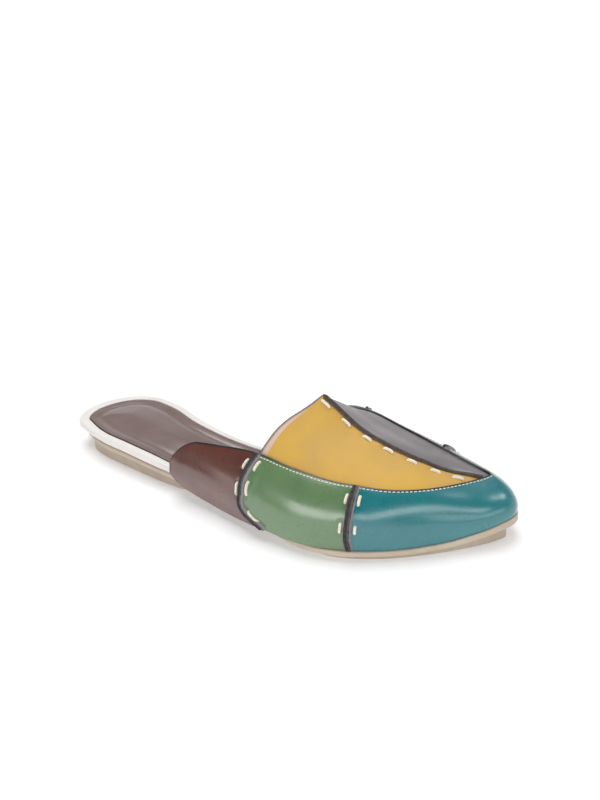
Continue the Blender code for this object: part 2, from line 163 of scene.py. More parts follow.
# Rounded rear end of each quarter, and the throat corner where the apron begins
QUARTER_BACK = {"lateral": 81.5, "medial": 112.0}
QUARTER_MID_Z = {"lateral": 15.5, "medial": 12.0}
QUARTER_TOP_ROUND = 17.0
QUARTER_LOW_ROUND = 11.0
QUARTER_END = 0.4
THROAT_CORNER = {"lateral": 134.5, "medial": 163.5}

# Raised seams across the side strip
SIDE_SEAMS = {
    # name: side, x at the foot, just over it, near half way up, and at the top
    "seam_lateral_rear": ("lateral", 145.8, 136.2, 132.4, 135.8),
    "seam_lateral_front": ("lateral", 188.2, 187.6, 188.0, 190.4),
    "seam_medial_rear": ("medial", 164.0, 161.6, 160.4, 166.0),
    "seam_medial_front": ("medial", 209.0, 207.8, 207.6, 212.0),
}
SEAM_LEVELS = (0.03, 0.15, 0.45, 0.97)
RIDGE_SEAM_START = 0.004

# Layers of the upper, as depths under its smooth surface
PANEL_BASE = 1.0
LINING_TOP = 1.05
PANEL_ROUND = 0.55

# Dark band in from the strip's free edges, as dyed raw edge and painted shade of the gap under the edge: how
# far it reaches, how much wider it is round the medial side, and the apron's edge at the throat
DYED_AND_SHADED_EDGE = (0.8, 1.2)
MEDIAL_DARK_BAND_SHARE = 2.0
MEDIAL_DARK_BAND_RUN = (0.99, 1.04)
THROAT_SET_BACK = (0.048, 0.006)

# Flange of two leather edges that stands along each raised seam, seen from its foot
FLANGE = (
    # across towards the toe, up, share of dark dye
    (-1.80, -0.5, 0),
    (-1.75, 0.5, 0.1),
    (-1.60, 1.05, 0.8),
    (-1.25, 1.4, 1),
    (-0.80, 1.45, 1),
    (-0.40, 1.25, 0.95),
    (-0.15, 0.95, 0.6),
    (0, 0.85, 0.45),
    (0.15, 0.95, 0.6),
    (0.40, 1.25, 0.95),
    (0.80, 1.42, 1),
    (1.10, 1.3, 0.85),
    (1.35, 1, 0.15),
    (1.60, 0.5, 0),
    (1.80, -0.5, 0),
)
RIDGE_FLANGE = (
    # across towards the medial side, up, share of dark dye
    (-1.20, -0.5, 0),
    (-1.20, 0.2, 0.2),
    (-1.10, 0.6, 0.9),
    (-0.85, 0.95, 1),
    (-0.50, 1.1, 1),
    (-0.20, 1.02, 0.9),
    (0, 0.92, 0.7),
    (0.20, 1.02, 0.9),
    (0.50, 1.08, 1),
    (0.75, 0.9, 0.9),
    (0.95, 0.55, 0.3),
    (1.10, 0.1, 0),
    (1.20, -0.5, 0),
)
APRON_SEAM = (
    # along the apron, how far across its lateral half the seam of the two leathers lies
    (0, 0.998),
    (0.2, 0.985),
    (0.4, 0.93),
    (0.6, 0.90),
    (0.7, 0.90),
    (0.8, 0.905),
    (0.9, 0.85),
    (0.94, 0.72),
    (0.965, 0.47),
    (0.98, 0.19),
    (0.986, 0.04),
    (1, 0),
)
APRON_SEAM_END = 0.986

# Ends of the flanges, and the place across the apron that gives the ridge its way out
FLANGE_TOP = 0.985
FLANGE_END = 1.2
FLANGE_END_SIZE = 0.25
NEAR_RIDGE = 0.97

# Hand stitches beside the seams, and the puckers that they pull
STITCH_OFFSET = 3.3
STITCH_RADIUS = 0.75
STITCH_RISE = 0.3
STITCH_BEND = 5
TUBE_TIP = 0.02
PUCKER_DEPTH = 0.4
PUCKER_REACH = 1.5
HAND_STITCHES = (
    # seam, -1 for the row behind it or 1 for the one in front, levels where each stitch starts and ends
    ("seam_lateral_rear", -1, ((0.72, 0.87), (0.35, 0.53))),
    ("seam_lateral_rear", 1, ((0.74, 0.89), (0.39, 0.59), (0.09, 0.2))),
    ("seam_lateral_front", -1, ((0.68, 0.82), (0.26, 0.4))),
    ("seam_lateral_front", 1, ((0.66, 0.82), (0.26, 0.37))),
    ("seam_medial_rear", -1, ((0.6, 0.74), (0.32, 0.46))),
    ("seam_medial_rear", 1, ((0.6, 0.74), (0.34, 0.48), (0.1, 0.2))),
    ("seam_medial_front", -1, ((0.56, 0.7), (0.26, 0.4))),
    ("seam_medial_front", 1, ((0.56, 0.7), (0.26, 0.38))),
)
RIDGE_STITCHES = (
    # along the apron where each one starts and ends
    (0.024, 0.088),
    (0.179, 0.243),
    (0.344, 0.408),
    (0.496, 0.560),
    (0.651, 0.710),
    (0.790, 0.842),
    (0.895, 0.934),
)
RIDGE_STITCH_OFFSET = (2.4, 5.6)
RIDGE_STITCH_SWING = 4

# Soft creases and hollows of the leather, as lines pressed into it
STRIP_CREASES = (
    # side, x and level where it starts, x and level where it ends, depth, half width
    ("lateral", (90, 0.70), (128, 0.42), 0.30, 3.5),
    ("lateral", (100, 0.25), (124, 0.12), 0.20, 2.5),
    ("lateral", (141.5, 0.85), (140, 0.30), 0.30, 2.2),
    ("lateral", (147, 0.22), (184, 0.20), 0.20, 3.5),
    ("lateral", (182.5, 0.85), (181, 0.20), 0.14, 2.0),
    ("lateral", (195, 0.80), (194, 0.25), 0.10, 2.0),
    ("medial", (150, 0.70), (154, 0.25), 0.30, 2.5),
    ("medial", (172, 0.45), (202, 0.40), 0.30, 3.0),
)
APRON_CREASES = (
    # side, along and across where it starts, along and across where it ends, depth, half width
    ("lateral", (0.05, 0.45), (0.55, 0.40), 0.7, 8.0),
    ("lateral", (0.30, 0.72), (0.62, 0.60), 0.35, 3.5),
    ("medial", (0.10, 0.40), (0.60, 0.45), 0.5, 5.0),
)

# Scuffed places on the toe
SCUFFS = (
    # x and level on the lateral strip, reach
    (228, 0.56, 3.5),
    (231, 0.42, 3),
    (224, 0.50, 2.5),
    (238, 0.12, 4),
    (205, 0.08, 3.5),
)

# Machine stitches under the strip's top edge, on the usual height of the strip
STRIP_HEIGHT = 33.0
MACHINE_START = 1.0
MACHINE_PITCH = 1.9
MACHINE_LENGTH = 1.35
MACHINE_RADIUS = 0.24
MACHINE_RISE = 0.1
MACHINE_DROP = {"lateral": 1.9, "medial": 4.4}
MACHINE_STOP = {"lateral": 1.01, "medial": 1.14}

# Camera, as worked out from the photograph
IMAGE_TALL = 800
FOCAL_PIXELS = 1123.57
SENSOR = 36.0
CAMERA_TURN = 32.233
CAMERA_HEIGHT = 26.0
CAMERA_ROLL = 4.0
CAMERA_REACH = 650.0
CAMERA_AIM = np.array([86.24, 84.43, 0.0])

# How finely curves are drawn and pieces are meshed, and points repeated where the outline closes
WRAPPED = 3
OUTLINE_SAMPLES = 1200
APRON_SAMPLES = 240
CREASE_SAMPLES = 40
MACHINE_SAMPLES = 900
STITCH_STEPS = 15
STITCH_SIDES = 8
MACHINE_STEPS = 6
MACHINE_SIDES = 6
FLANGE_STEPS = 90
PANEL_COLUMNS = 90
PANEL_LEVELS = 40
APRON_COLUMNS = 150
APRON_ROWS = 72
LINING_LEVELS = 19
LINING_QUARTER = 31
LINING_ALONG = 61
SOLE_STATIONS = 110
BLOCK_STATIONS = 80
SOCK_STATIONS = 150
SOCK_ACROSS = 70

# Closer rows at free edges: millimetres under the strip's top, shares of the apron from the throat,
# and powers that crowd the stations towards an end
TOP_STEPS = (1.3, 0.95, 0.7, 0.5, 0.34, 0.2, 0.1, 0.0)
THROAT_STEPS = (0.0, 0.001, 0.003, 0.006, 0.010, 0.016)
PANEL_CROWD = 1.7
LINING_CROWD = 1.5
RIDGE_CROWD = 1.6

# Small steps that give directions on the upper, and limits of the meshes
RUN_STEP = 0.002
LEVEL_STEP = 0.01
ALONG_STEP = 0.006
TINY = 1e-9
LINING_MERGE = 0.02
SOCK_MERGE = 0.001
SHARP_ANGLE = 50.0


def smooth(knots, values, at):
    """Cubic through the rows of a table, with slopes from the neighbouring rows."""
    knots = np.asarray(knots, float)
    values = np.asarray(values, float)
    slopes = np.gradient(values, knots, axis=0)
    at = np.clip(np.asarray(at, float), knots[0], knots[-1])
    low = np.clip(np.searchsorted(knots, at, side="right") - 1, 0, len(knots) - 2)
    span = knots[low + 1] - knots[low]
    t = (at - knots[low]) / span
    if values.ndim > 1:
        t = t[..., None]
        span = span[..., None]
    rise = t * t * (3 - 2 * t)
    return (
        values[low] * (1 - rise)
        + values[low + 1] * rise
        + span * t * (1 - t) * ((1 - t) * slopes[low] - t * slopes[low + 1])
    )


def step_lengths(points, axis=0):
    """Distance from the start of a path, or of each line of a grid along an axis."""
    steps = np.linalg.norm(np.diff(points, axis=axis), axis=-1)
    zero = np.zeros_like(np.take(steps, [0], axis=axis))
    return np.concatenate([zero, np.cumsum(steps, axis=axis)], axis=axis)


def draw_outline():
    """Footbed edge as two paths from heel to toe: x, y, outward normal and share."""
    lateral = [(x, outer) for x, outer, inner in PLAN]
    medial = [(x, inner) for x, outer, inner in PLAN]
    points = np.array([HEEL_BACK, *lateral, TOE_TIP, *medial[::-1]])
    ring = np.vstack([points[-WRAPPED:], points, points[:WRAPPED + 1]])
    chord = step_lengths(ring)
    at = np.linspace(chord[WRAPPED], chord[WRAPPED + len(points)], OUTLINE_SAMPLES, endpoint=False)
    curve = smooth(chord, ring, at)
    curve = np.roll(curve, -curve[:, 0].argmin(), axis=0)
    ahead = np.roll(curve, -1, axis=0) - np.roll(curve, 1, axis=0)
    ahead /= np.linalg.norm(ahead, axis=-1, keepdims=True)
    rows = np.column_stack([curve, ahead[:, 1], -ahead[:, 0]])
    toe = curve[:, 0].argmax()
    sides = {"lateral": rows[: toe + 1], "medial": np.vstack([rows[toe:], rows[:1]])[::-1]}
    paths = {}
    for side, path in sides.items():
        run = step_lengths(path[:, :2])
        paths[side] = {"rows": path, "share": run / run[-1], "length": run[-1]}
    return paths


EDGE = draw_outline()


def profile(column, x):
    """A column of the sole's side view at x."""
    table = np.array(PROFILE)
    return smooth(table[:, 0], table[:, column], x)


outsole_under, outsole_top, footbed_rim, rim_width, outsole_ledge, upper_lap = (
    partial(profile, column) for column in range(1, 7))


def upper_foot(x):
    """Lower edge of the upper, on the outsole or lapped over it at the waist."""
    return outsole_top(x) + GAP - upper_lap(x)


def end_round(distance, radius):
    """Share of full size near a rounded end."""
    d = np.clip(distance / radius, 0.0, 1.0)
    return np.sqrt(1 - (1 - d) ** 2)


def share_at(side, x):
    """Share of the footbed edge, heel to toe, at station x."""
    path = EDGE[side]
    return np.interp(x, path["rows"][:, 0], path["share"])


def foot_points(side, share):
    """Foot of the upper's outer face, and the outward direction there."""
    path = EDGE[side]
    x, y, nx, ny = (np.interp(share, path["share"], path["rows"][:, i]) for i in range(4))
    size = np.hypot(nx, ny)
    out = np.stack([nx / size, ny / size, np.zeros_like(x)], axis=-1)
    foot = np.stack([x, y, np.zeros_like(x)], axis=-1) + out * (WALL + GAP)
    foot[..., 2] = upper_foot(foot[..., 0] + out[..., 0] * LAP_STEP)
    return foot, out


def matched(first, second):
    """Two arrays of numbers brought to one shape."""
    return np.broadcast_arrays(np.asarray(first, float), np.asarray(second, float))


def side_points(side, share, level):
    """Points of one side's strip, from its foot (level 0) to its top (level 1)."""
    share, level = matched(share, level)
    foot, out = foot_points(side, share)
    table = np.array(SECTIONS[side])
    row = smooth(share_at(side, table[:, 0]), table[:, 1:], share)
    top = row[..., :3]
    turn = np.radians(row[..., 3])
    run = (share - share_at(side, QUARTER_BACK[side])) * EDGE[side]["length"]
    middle = (QUARTER_MID_Z[side] - foot[..., 2]) / (top[..., 2] - foot[..., 2])
    low = np.arcsin(middle * (1 - end_round(run, QUARTER_LOW_ROUND)) * np.sin(turn))
    high = np.arcsin((middle + (1 - middle) * end_round(run, QUARTER_TOP_ROUND)) * np.sin(turn))
    angle = low + (high - low) * level
    inward = (1 - np.cos(angle)) / (1 - np.cos(turn))
    rise = np.sin(angle) / np.sin(turn)
    lean = (top - foot) * np.array([1.0, 1.0, 0.0])
    points = foot + lean * inward[..., None] + out * (BULGE * np.sin(np.pi * rise))[..., None]
    points[..., 2] = foot[..., 2] + (top[..., 2] - foot[..., 2]) * rise
    return points


def strip_points(run, level):
    """Points of the strip, with run from the lateral heel (0) by the toe (1) to the medial heel (2)."""
    run, level = matched(run, level)
    lateral = side_points("lateral", np.minimum(run, 1.0), level)
    medial = side_points("medial", np.minimum(2.0 - run, 1.0), level)
    return np.where((run <= 1.0)[..., None], lateral, medial)


def unit(vectors):
    return vectors / np.maximum(np.linalg.norm(vectors, axis=-1, keepdims=True), TINY)


def strip_frame(run, level):
    """Points of the strip, and the way out of the leather there."""
    along = strip_points(run + RUN_STEP, level) - strip_points(run - RUN_STEP, level)
    up = (strip_points(run, np.minimum(level + LEVEL_STEP, 1))
          - strip_points(run, np.maximum(level - LEVEL_STEP, 0)))
    return strip_points(run, level), unit(np.cross(along, up))


def ridge_points(along):
    """Points of the centre ridge, from the throat peak (0) to the toe (1)."""
    table = np.array(RIDGE)
    x = table[0, 0] + np.asarray(along, float) * (table[-1, 0] - table[0, 0])
    return np.concatenate([x[..., None], smooth(table[:, 0], table[:, 1:], x)], axis=-1)


def apron_run(side):
    """Shares along the apron's edge, and how far along the apron each one is."""
    shares = np.linspace(share_at(side, THROAT_CORNER[side]), 1, APRON_SAMPLES)
    table = np.array(SECTIONS[side])
    tops = smooth(share_at(side, table[:, 0]), table[:, 1], shares)
    return shares, (tops - tops[0]) / (tops[-1] - tops[0])


APRON = {side: apron_run(side) for side in SECTIONS}


def apron_points(side, along, across):
    """Points of the apron, from the side strip (across 0) to the centre ridge (across 1)."""
    along, across = matched(along, across)
    shares, reached = APRON[side]
    edge = side_points(side, np.interp(along, reached, shares), 1.0)
    crown = CROWN_AT_THROAT[side] * (1 - along) + CROWN_AT_TOE * along
    sway = THROAT_SWAY[side] * (1 - along) ** 2
    points = edge + (ridge_points(along) - edge) * across[..., None]
    points[..., 2] += crown * np.sin(np.pi * across) + sway * np.sin(2 * np.pi * across)
    return points


def apron_frame(side, along, across):
    """Points of the apron, and the way out of the leather there."""
    ahead = (apron_points(side, np.minimum(along + ALONG_STEP, 1), across)
             - apron_points(side, np.maximum(along - ALONG_STEP, 0), across))
    inward = (apron_points(side, along, np.minimum(across + LEVEL_STEP, 1))
              - apron_points(side, along, np.maximum(across - LEVEL_STEP, 0)))
    out = np.cross(ahead, inward) if side == "lateral" else np.cross(inward, ahead)
    return apron_points(side, along, across), unit(out)


def apron_seam(along):
    """How far across the lateral half of the apron its seam lies."""
    table = np.array(APRON_SEAM)
    return np.clip(smooth(table[:, 0], table[:, 1], along), 0.0, 1.0)


def run_at(side, share):
    """Run round the strip at a share of one side's edge."""
    return share if side == "lateral" else 2.0 - share


def seam_run(name, level):
    """Run of a side seam at a level of the strip."""
    side, *stations = SIDE_SEAMS[name]
    return run_at(side, share_at(side, smooth(SEAM_LEVELS, stations, level)))


def quarter_share(side):
    """Share of the edge at the rounded rear end of a quarter."""
    return share_at(side, QUARTER_BACK[side]) + QUARTER_END / EDGE[side]["length"]


def strip_spot(side, x, level):
    """Point of the strip at a station and level of one side."""
    return side_points(side, share_at(side, x), level)


def nearest(points, spots):
    """Distance from every grid point to the nearest of some spots."""
    size = points.shape[-1]
    away = points.reshape(-1, 1, size) - np.reshape(spots, (1, -1, size))
    return np.sqrt((away ** 2).sum(-1).min(axis=1)).reshape(points.shape[:-1])


def press(points, spots, depth, reach):
    """Depth of a soft dent round a line of spots."""
    return depth * np.exp(-((nearest(points, spots) / reach) ** 2))


def crease_line(start, end):
    """Pairs of surface values along a crease, as two rows."""
    return np.linspace(start, end, CREASE_SAMPLES).T


def side_stitch(seam, direction, level):
    """Points beside a side seam on the strip's face, and the way out of it."""
    side = SIDE_SEAMS[seam][0]
    toward = direction if side == "lateral" else -direction
    run = seam_run(seam, level) + toward * STITCH_OFFSET / EDGE[side]["length"]
    points, out = strip_frame(run, level)
    return points + out * LAP_STEP, out


def ridge_stitch(along):
    """Points beside the apron's seam on its lateral half, and the way out of it."""
    reach = np.linalg.norm(ridge_points(along) - apron_points("lateral", along, 0.0), axis=-1)
    first, last = RIDGE_STITCH_OFFSET
    offset = first + (last - first) * along ** RIDGE_STITCH_SWING
    return apron_frame("lateral", along, apron_seam(along) - offset / reach)


def side_stitches(steps):
    """Every hand stitch beside the side seams, as points and ways out."""
    return [side_stitch(seam, direction, np.linspace(*ends, steps))
            for seam, direction, spans in HAND_STITCHES for ends in spans]


def ridge_stitches(steps):
    """Every hand stitch beside the apron's seam, as points and ways out."""
    return [ridge_stitch(np.linspace(*ends, steps)) for ends in RIDGE_STITCHES]


def dents(points, creases, stitches):
    """Depth of creases, each a line with depth and half width, and of the puckers at stitches."""
    puckers = [(path, PUCKER_DEPTH, PUCKER_REACH) for path, out in stitches]
    return sum(press(points, *dent) for dent in creases + puckers)


def strip_dents(points):
    """Depth of the creases and puckers on the strip."""
    creases = [(strip_spot(side, *crease_line(start, end)), depth, half)
               for side, start, end, depth, half in STRIP_CREASES]
    return dents(points, creases, side_stitches(2))


def apron_dents(side, points):
    """Depth of the hollows and puckers on one half of the apron."""
    creases = [(apron_points(side, *crease_line(start, end)), depth, half)
               for crease_side, start, end, depth, half in APRON_CREASES if crease_side == side]
    return dents(points, creases, ridge_stitches(2) if side == "lateral" else [])


def add_object(name, data):
    """New object in the scene."""
    thing = bpy.data.objects.new(name, data)
    bpy.context.scene.collection.objects.link(thing)
    return thing


def add_piece(name, bm, material, nodes):
    """A closed mesh in shoe millimetres as a piece of the object."""
    bmesh.ops.recalc_face_normals(bm, faces=bm.faces)
    if bm.calc_volume(signed=True) < 0:
        bmesh.ops.reverse_faces(bm, faces=bm.faces)
    bmesh.ops.translate(bm, verts=bm.verts, vec=Vector(-ORIGIN))
    bmesh.ops.scale(bm, verts=bm.verts, vec=(MM, MM, MM))
    mesh = bpy.data.meshes.new(name)
    bm.to_mesh(mesh)
    bm.free()
    mesh.shade_smooth()
    mesh.set_sharp_from_angle(angle=np.radians(SHARP_ANGLE))
    mesh.materials.append(material)
    piece = add_object(name, mesh)
    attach(piece, "root")
    if nodes:
        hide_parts(*nodes)


def new_mesh(*layers):
    """Empty mesh with float layers on its vertices."""
    bm = bmesh.new()
    return bm, [bm.verts.layers.float.new(layer) for layer in layers]


def grid_verts(bm, points, *layers):
    """Vertices of a grid, with pairs of a layer and its values."""
    verts = [[bm.verts.new(p) for p in row] for row in points]
    for layer, values in layers:
        for row, numbers in zip(verts, np.broadcast_to(values, points.shape[:2])):
            for vert, number in zip(row, numbers):
                vert[layer] = float(number)
    return verts


def grid_faces(bm, verts):
    for here, ahead in zip(verts, verts[1:]):
        for k in range(len(here) - 1):
            bm.faces.new((here[k], ahead[k], ahead[k + 1], here[k + 1]))


def border(verts):
    """Vertices round a grid, in order."""
    top = [row[-1] for row in verts]
    low = [row[0] for row in verts]
    return low[:-1] + verts[-1][:-1] + top[:0:-1] + verts[0][:0:-1]


def join_borders(bm, one, other):
    count = len(one)
    for i in range(count):
        k = (i + 1) % count
        bm.faces.new((one[i], one[k], other[k], other[i]))


def close_tube(bm, rings):
    """Faces of a closed tube through rings of vertices."""
    for here, beyond in zip(rings, rings[1:]):
        join_borders(bm, here, beyond)
    bm.faces.new(rings[0])
    bm.faces.new(rings[-1][::-1])


def close_sheet(bm, front, back):
    """Faces of a closed sheet between two grids of the same size."""
    grid_faces(bm, front)
    grid_faces(bm, back)
    join_borders(bm, border(front), border(back))


def rounded_drop(distance, radius):
    """How far a rounded edge falls below the face it belongs to."""
    d = np.clip(distance, 0.0, radius)
    return radius - np.sqrt(radius ** 2 - (radius - d) ** 2)


def fade(distance, near, far):
    """1 up to near, falling softly to 0 at far."""
    t = np.clip((far - distance) / (far - near), 0.0, 1.0)
    return t * t * (3 - 2 * t)


def leather_sheet(name, points, out, edge_distance, dark, rise, material, scuff=0.0):
    """Closed leather sheet over a grid, rounded near its free edges, with a share of dark edge colour: dyed
    raw edge, and on the strip also painted shade along its free edges.
    """
    bm, (edge, worn) = new_mesh("edge", "scuff")
    face = points + out * (rise - rounded_drop(edge_distance, PANEL_ROUND))[..., None]
    front = grid_verts(bm, face, (edge, dark), (worn, scuff))
    back = grid_verts(bm, points - out * PANEL_BASE, (edge, dark))
    close_sheet(bm, front, back)
    add_piece(name, bm, material, ("upper",))


# Materials

def feed(tree, node, inputs):
    """Give a node its inputs, each a plain value or a socket to link."""
    for name, value in inputs.items():
        if isinstance(value, bpy.types.NodeSocket):
            tree.links.new(value, node.inputs[name])
        else:
            node.inputs[name].default_value = value


def add_node(tree, kind, inputs, **settings):
    """New shader node with its settings and its inputs."""
    node = tree.nodes.new("ShaderNode" + kind)
    for name, value in settings.items():
        setattr(node, name, value)
    feed(tree, node, inputs)
    return node


def base_material(name):
    """Plain Principled material: itself, its nodes and its shader."""
    material = bpy.data.materials.new(name)
    material.use_nodes = True
    tree = material.node_tree
    return material, tree, tree.nodes["Principled BSDF"]


def shoe_space(tree):
    """Object coordinates in millimetres."""
    coords = add_node(tree, "TexCoord", {}).outputs["Object"]
    return add_node(tree, "Mapping", {"Vector": coords, "Scale": (1 / MM,) * 3}).outputs["Vector"]


def noise(tree, size, detail=3.0, roughness=0.5):
    """Noise with features of a size in millimetres."""
    inputs = {"Vector": shoe_space(tree), "Scale": 1.0 / size, "Detail": detail, "Roughness": roughness}
    return add_node(tree, "TexNoise", inputs).outputs["Fac"]


def remap(tree, value, source, target=(0.0, 1.0)):
    """Value stretched from one range to another."""
    limits = zip(("From Min", "From Max", "To Min", "To Max"), (*source, *target))
    return add_node(tree, "MapRange", {"Value": value, **dict(limits)}).outputs["Result"]


def blend_colour(tree, share, first, second):
    """Mix of two colours, each a tuple or a socket."""
    ends = [(*colour, 1.0) if isinstance(colour, tuple) else colour for colour in (first, second)]
    return add_node(tree, "Mix", {0: share, 6: ends[0], 7: ends[1]}, data_type="RGBA").outputs[2]


def multiply(tree, first, second):
    return add_node(tree, "Math", {0: first, 1: second}, operation="MULTIPLY").outputs["Value"]


def attribute(tree, name):
    return add_node(tree, "Attribute", {}, attribute_name=name).outputs["Fac"]


def bump(tree, height, depth, over=None):
    """Normal of a bump of a depth in millimetres, over an earlier one."""
    earlier = {"Normal": over} if over else {}
    inputs = {"Height": height, "Distance": depth * MM, "Strength": 1.0, **earlier}
    return add_node(tree, "Bump", inputs).outputs["Normal"]


DARK_EDGE = (0.020, 0.018, 0.021)
RIDGE_EDGE = (0.038, 0.033, 0.038)
SCUFF_SHADE = 0.35
SCUFF_GREY = 0.015
GRAIN_SIZE = 1.1
GRAIN_DEPTH = 0.03
PORE_SHARE = 0.45


def leather(name, colour, deep, rough=0.3, coat=0.8, coat_ior=1.5, specular=0.5):
    """Smooth finished leather: tone drifts softly, fine grain, scuffs, and a dark colour on its edges: raw
    edges dyed dark, with painted shade of the gaps along the strip's and the sock's free edges.
    """
    material, tree, shader = base_material(name)
    tone = remap(tree, noise(tree, size=22.0), (0.35, 0.68))
    speckle = remap(tree, noise(tree, size=1.3, detail=5.0, roughness=0.7), (0.52, 0.66), (0.0, 0.8))
    worn = multiply(tree, attribute(tree, "scuff"), speckle)
    dull = tuple(SCUFF_SHADE * value + SCUFF_GREY for value in deep)
    body = blend_colour(tree, worn, blend_colour(tree, tone, colour, deep), dull)
    edge = attribute(tree, "edge")
    pores = bump(tree, noise(tree, PORE_SHARE * GRAIN_SIZE, detail=0.0), GRAIN_DEPTH / 2)
    feed(tree, shader, {
        "Base Color": blend_colour(tree, edge, body, DARK_EDGE),
        "Roughness": remap(tree, noise(tree, size=6.0), (0.3, 0.7), (rough - 0.05, rough + 0.06)),
        "Specular IOR Level": specular,
        "Coat Weight": remap(tree, edge, (0.0, 1.0), (coat, 0.0)),
        "Coat Roughness": 0.2,
        "Coat IOR": coat_ior,
        "Normal": bump(tree, noise(tree, GRAIN_SIZE, detail=1.0), GRAIN_DEPTH, pores),
    })
    return material


def rubber(name, colour, deep):
    """Moulded rubber: fine even grain and a slight drift of tone."""
    material, tree, shader = base_material(name)
    tone = remap(tree, noise(tree, size=14.0), (0.35, 0.65))
    feed(tree, shader, {
        "Base Color": blend_colour(tree, tone, colour, deep),
        "Roughness": remap(tree, noise(tree, size=3.0), (0.3, 0.7), (0.54, 0.66)),
        "Normal": bump(tree, noise(tree, size=0.6, detail=4.0), 0.05),
    })
    return material


def flange_leather(name, near_face, far_face, dark):
    """Seam flange: a colour for each of its two sides, with dyed raw edges on top; on the side seams the far
    face is painted lighter as a lit side and the near face darker as a shaded one.
    """
    material, tree, shader = base_material(name)
    tone = remap(tree, noise(tree, size=1.6), (0.3, 0.7), (0.6, 1.0))
    face = blend_colour(tree, attribute(tree, "far"), near_face, far_face)
    feed(tree, shader, {
        "Base Color": blend_colour(tree, multiply(tree, tone, attribute(tree, "dark")), face, dark),
        "Roughness": remap(tree, noise(tree, size=2.0), (0.3, 0.7), (0.55, 0.75)),
        "Specular IOR Level": 0.25,
        "Normal": bump(tree, noise(tree, size=0.5, detail=4.0), 0.08),
    })
    return material


def thread(name, colour, shade):
    """Waxed thread with a soft twist of tone."""
    material, tree, shader = base_material(name)
    tone = remap(tree, noise(tree, size=0.5), (0.35, 0.65))
    feed(tree, shader, {
        "Base Color": blend_colour(tree, tone, colour, shade),
        "Roughness": 0.7,
        "Normal": bump(tree, noise(tree, size=0.25), 0.06),
    })
    return material


BROWN = leather("leather_brown", (0.122, 0.036, 0.023), (0.092, 0.028, 0.019), coat=1.0, coat_ior=1.66)
GREEN = leather("leather_green", (0.126, 0.220, 0.098), (0.106, 0.192, 0.090), coat=0.9, coat_ior=1.6)
TEAL = leather("leather_teal", (0.008, 0.175, 0.194), (0.006, 0.150, 0.176), coat=0.9, coat_ior=1.6)
YELLOW = leather("leather_yellow", (0.630, 0.380, 0.074), (0.555, 0.338, 0.090), 0.55, 0.0, specular=0.25)
GREY = leather("leather_grey", (0.210, 0.190, 0.196), (0.172, 0.156, 0.162), rough=0.4, coat=0.2)
LINING = leather("lining_leather", (0.700, 0.520, 0.420), (0.620, 0.450, 0.360), rough=0.55, coat=0.0)
SOCK = leather("sock_leather", (0.160, 0.095, 0.081), (0.132, 0.074, 0.062), rough=0.33, coat=0.7)
WRAP = leather("wrap_leather", (0.800, 0.768, 0.740), (0.750, 0.712, 0.672), rough=0.5, coat=0.1)
# Side seams: the leather's grey inner face, painted lighter on the far side as a lit side and darker on the
# near side as painted shade
SIDE_FLANGE = flange_leather("flange_side", (0.120, 0.105, 0.110), (0.300, 0.285, 0.285), DARK_EDGE)
CENTER_FLANGE = flange_leather("flange_center", (0.180, 0.115, 0.055), (0.170, 0.152, 0.158), RIDGE_EDGE)
THREAD = thread("thread_cream", (0.870, 0.825, 0.715), (0.760, 0.690, 0.560))
OUTSOLE = rubber("outsole_rubber", (0.550, 0.462, 0.365), (0.490, 0.405, 0.318))
# Same rubber as the outsole, painted darker as shade for the heel lift and the forefoot tread under the
# outsole's edge
SHADED_RUBBER = rubber("rubber_painted_shade", (0.450, 0.375, 0.293), (0.395, 0.325, 0.255))

# Upper

PANELS = {
    # piece: leather, where it starts and where it ends along the strip
    "quarter_lateral": (BROWN, "lateral", "seam_lateral_rear"),
    "side_lateral": (GREEN, "seam_lateral_rear", "seam_lateral_front"),
    "toe": (TEAL, "seam_lateral_front", "seam_medial_front"),
    "side_medial": (GREEN, "seam_medial_front", "seam_medial_rear"),
    "quarter_medial": (BROWN, "seam_medial_rear", "medial"),
}


def panel_levels():
    """Levels up a panel, closer together at its top edge."""
    close = 1 - np.array(TOP_STEPS) / STRIP_HEIGHT
    return np.concatenate([np.linspace(0, close[0], PANEL_LEVELS)[:-1], close])


def panel_border(name, levels):
    """Run of a panel's end at each level, and whether the end is a free edge."""
    if name in SECTIONS:
        return np.full_like(levels, run_at(name, quarter_share(name))), True
    return seam_run(name, levels), False


def make_panel(name, material, start, end):
    """One leather panel of the side strip."""
    levels = panel_levels()
    first, first_free = panel_border(start, levels)
    last, last_free = panel_border(end, levels)
    u = np.linspace(0, 1, PANEL_COLUMNS + 1)
    if first_free:
        u = u ** PANEL_CROWD
    if last_free:
        u = 1 - (1 - u) ** PANEL_CROWD
    run = first + (last - first) * u[:, None]
    points, out = strip_frame(run, levels)
    height = step_lengths(points, axis=1)
    near = height[:, -1:] - height
    if first_free or last_free:
        length = step_lengths(points)
        back = length if first_free else length[-1:] - length
        near = np.minimum(near, back)
        near = np.minimum(near, np.where(back < QUARTER_LOW_ROUND, height, STRIP_HEIGHT))
    scuff = sum(press(points, strip_spot("lateral", x, level), 1.0, reach) for x, level, reach in SCUFFS)
    points = points - out * strip_dents(points + out * LAP_STEP)[..., None]
    # Dark band along the free edges: dyed raw edge, and painted shade of the gap under the edge; wider round
    # the medial side
    broad = MEDIAL_DARK_BAND_SHARE + (1 - MEDIAL_DARK_BAND_SHARE) * fade(run, *MEDIAL_DARK_BAND_RUN)
    dark = fade(near / broad, *DYED_AND_SHADED_EDGE)
    leather_sheet(name, points, out, near, dark, LAP_STEP, material, np.minimum(scuff, 1.0))


